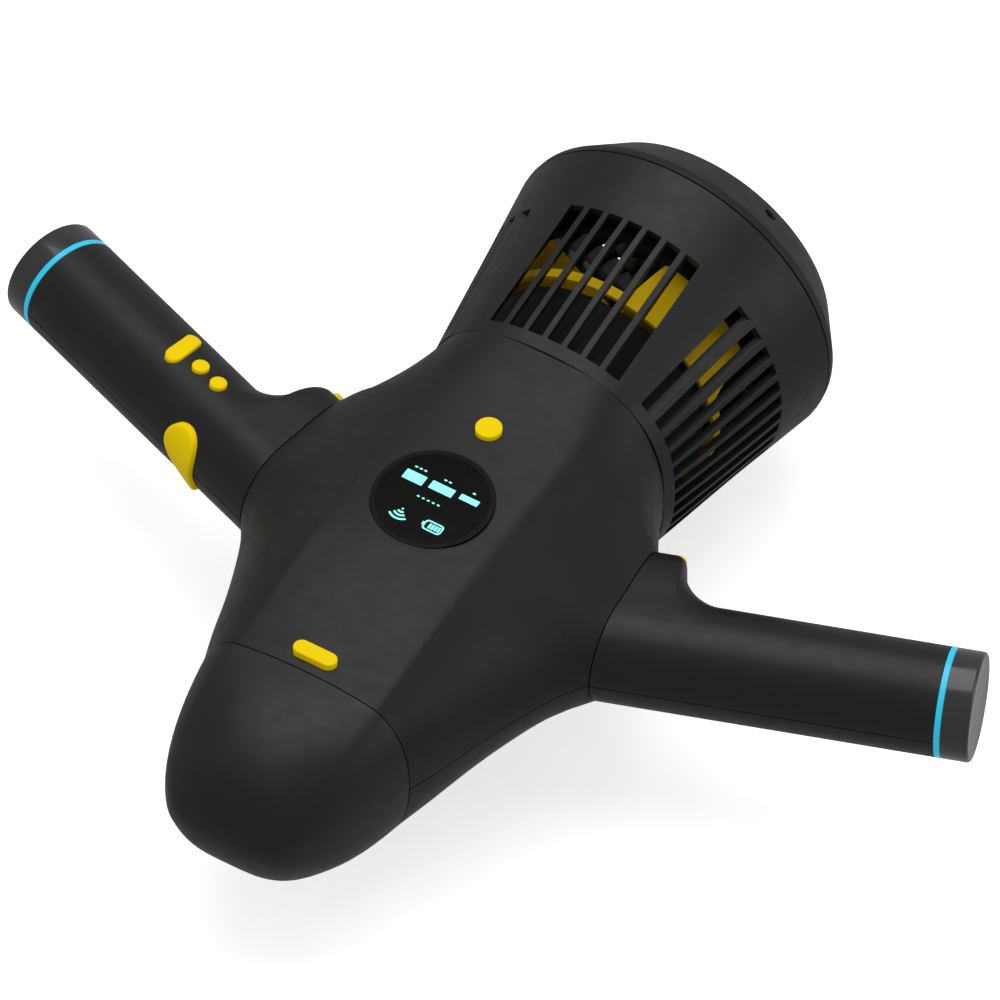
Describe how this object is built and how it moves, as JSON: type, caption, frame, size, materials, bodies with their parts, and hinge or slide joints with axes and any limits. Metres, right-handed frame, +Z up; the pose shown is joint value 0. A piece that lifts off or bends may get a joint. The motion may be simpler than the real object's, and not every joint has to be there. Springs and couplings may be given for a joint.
{
  "type": "underwater scooter",
  "caption": "Hand-held underwater scooter: blunt hull with slide-out battery nose, two swept detachable handles and a slotted thruster duct.",
  "frame": {"origin": "on the thrust axis, midway between the nose tip and the nozzle lip (centre of the bounding box)", "axes": "+X towards the rider's left handle (the longest extent), +Y rearward along the thrust axis to the nozzle, +Z up through the display (the shortest extent)"},
  "size_m": [0.4252, 0.342, 0.1394],
  "materials": {
    "hull_plastic": "fine satin texture",
    "duct_plastic": "fine satin texture",
    "inner_plastic": "moulded, glass filled",
    "cap_plastic": "semi gloss",
    "bezel_gloss": "gloss",
    "display_glass": "polished",
    "display_glow": "lit graphics",
    "yellow_button": "satin with bright bevel",
    "yellow_propeller": "satin",
    "ring_cyan": "light guide",
    "steel": "machined",
    "motor_alloy": "bead blasted",
    "motor_iron": "laminated",
    "windings": "enamelled wire",
    "contact_gold": "plated",
    "bush_brass": "sintered",
    "seal_rubber": "moulded",
    "circuit_green": "solder mask",
    "cell_wrap": "shrink wrap"
  },
  "bodies": {
    "hull": {"body_upper_shell": "hull_plastic", "body_lower_shell": "hull_plastic", "hull_screws": "steel", "front_bulkhead": "inner_plastic", "battery_sleeve": "inner_plastic", "hull_contacts": "contact_gold", "display_bezel": "bezel_gloss", "display_lens": "display_glass", "display_panel": "display_glow", "power_switch": "inner_plastic", "power_spring": "steel", "latch_spring": "steel", "controller_board": "circuit_green", "heat_sink": "motor_alloy", "motor_housing": "motor_alloy", "motor_core": "motor_iron", "motor_windings": "windings", "front_bearing": "steel", "rear_bearing": "steel", "motor_bulkhead": "inner_plastic", "shaft_seal": "seal_rubber", "shaft_fairing": "inner_plastic", "duct_shroud": "duct_plastic", "duct_screws": "steel", "stator_vanes": "inner_plastic", "tail_bush": "bush_brass", "nozzle_ring": "duct_plastic", "left_socket": "inner_plastic", "right_socket": "inner_plastic"},
    "battery_module": {"nose_cap": "hull_plastic", "nose_seal": "seal_rubber", "battery_can": "inner_plastic", "battery_cells": "cell_wrap", "battery_terminals": "contact_gold"},
    "propulsor": {"propeller": "yellow_propeller", "drive_shaft": "steel", "motor_rotor": "motor_iron", "propeller_nut": "steel"},
    "left_handle": {"left_upper_shell": "hull_plastic", "left_lower_shell": "hull_plastic", "left_spigot": "motor_alloy", "left_light_ring": "ring_cyan", "left_end_cap": "cap_plastic", "left_handle_screws": "steel"},
    "right_handle": {"right_upper_shell": "hull_plastic", "right_lower_shell": "hull_plastic", "right_spigot": "motor_alloy", "right_light_ring": "ring_cyan", "right_end_cap": "cap_plastic", "right_handle_screws": "steel", "control_board": "circuit_green"},
    "left_release": {"left_release_button": "yellow_button"},
    "right_release": {"right_release_button": "yellow_button"},
    "throttle_trigger": {"trigger": "yellow_button"},
    "mode_key": {"mode_button": "yellow_button"},
    "speed_up_key": {"speed_up_button": "yellow_button"},
    "speed_down_key": {"speed_down_button": "yellow_button"},
    "power_key": {"power_button": "yellow_button"},
    "nose_latch": {"latch_button": "yellow_button"}
  },
  "joints": [
    {"name": "propeller_spin", "type": "hinge", "parent": "hull", "child": "propulsor", "pos_m": [0, 0.106, 0], "axis": [0, 1, 0], "continuous": true},
    {"name": "battery_slide", "type": "slide", "parent": "hull", "child": "battery_module", "axis": [0, -1, 0], "range_m": [0, 0.1]},
    {"name": "left_handle_slide", "type": "slide", "parent": "hull", "child": "left_handle", "axis": [0.992, 0.1262, 0], "range_m": [0, 0.03]},
    {"name": "right_handle_slide", "type": "slide", "parent": "hull", "child": "right_handle", "axis": [-0.992, 0.1262, 0], "range_m": [0, 0.03]},
    {"name": "left_release_press", "type": "slide", "parent": "left_handle", "child": "left_release", "axis": [0.3387, -0.9409, 0], "range_m": [0, 0.002]},
    {"name": "right_release_press", "type": "slide", "parent": "right_handle", "child": "right_release", "axis": [-0.3387, -0.9409, 0], "range_m": [0, 0.002]},
    {"name": "trigger_press", "type": "slide", "parent": "right_handle", "child": "throttle_trigger", "axis": [0.3272, 0.9088, -0.2588], "range_m": [0, 0.0025]},
    {"name": "mode_press", "type": "slide", "parent": "right_handle", "child": "mode_key", "axis": [-0.0762, -0.2117, -0.9744], "range_m": [0, 0.0008]},
    {"name": "speed_up_press", "type": "slide", "parent": "right_handle", "child": "speed_up_key", "axis": [-0.0501, -0.1391, -0.989], "range_m": [0, 0.0008]},
    {"name": "speed_down_press", "type": "slide", "parent": "right_handle", "child": "speed_down_key", "axis": [-0.0501, -0.1391, -0.989], "range_m": [0, 0.0008]},
    {"name": "power_press", "type": "slide", "parent": "hull", "child": "power_key", "axis": [0, 0, -1], "range_m": [0, 0.0012], "deforming": ["power_spring"]},
    {"name": "latch_press", "type": "slide", "parent": "hull", "child": "nose_latch", "axis": [0, 0, -1], "range_m": [0, 0.0015], "deforming": ["latch_spring"]}
  ]
}
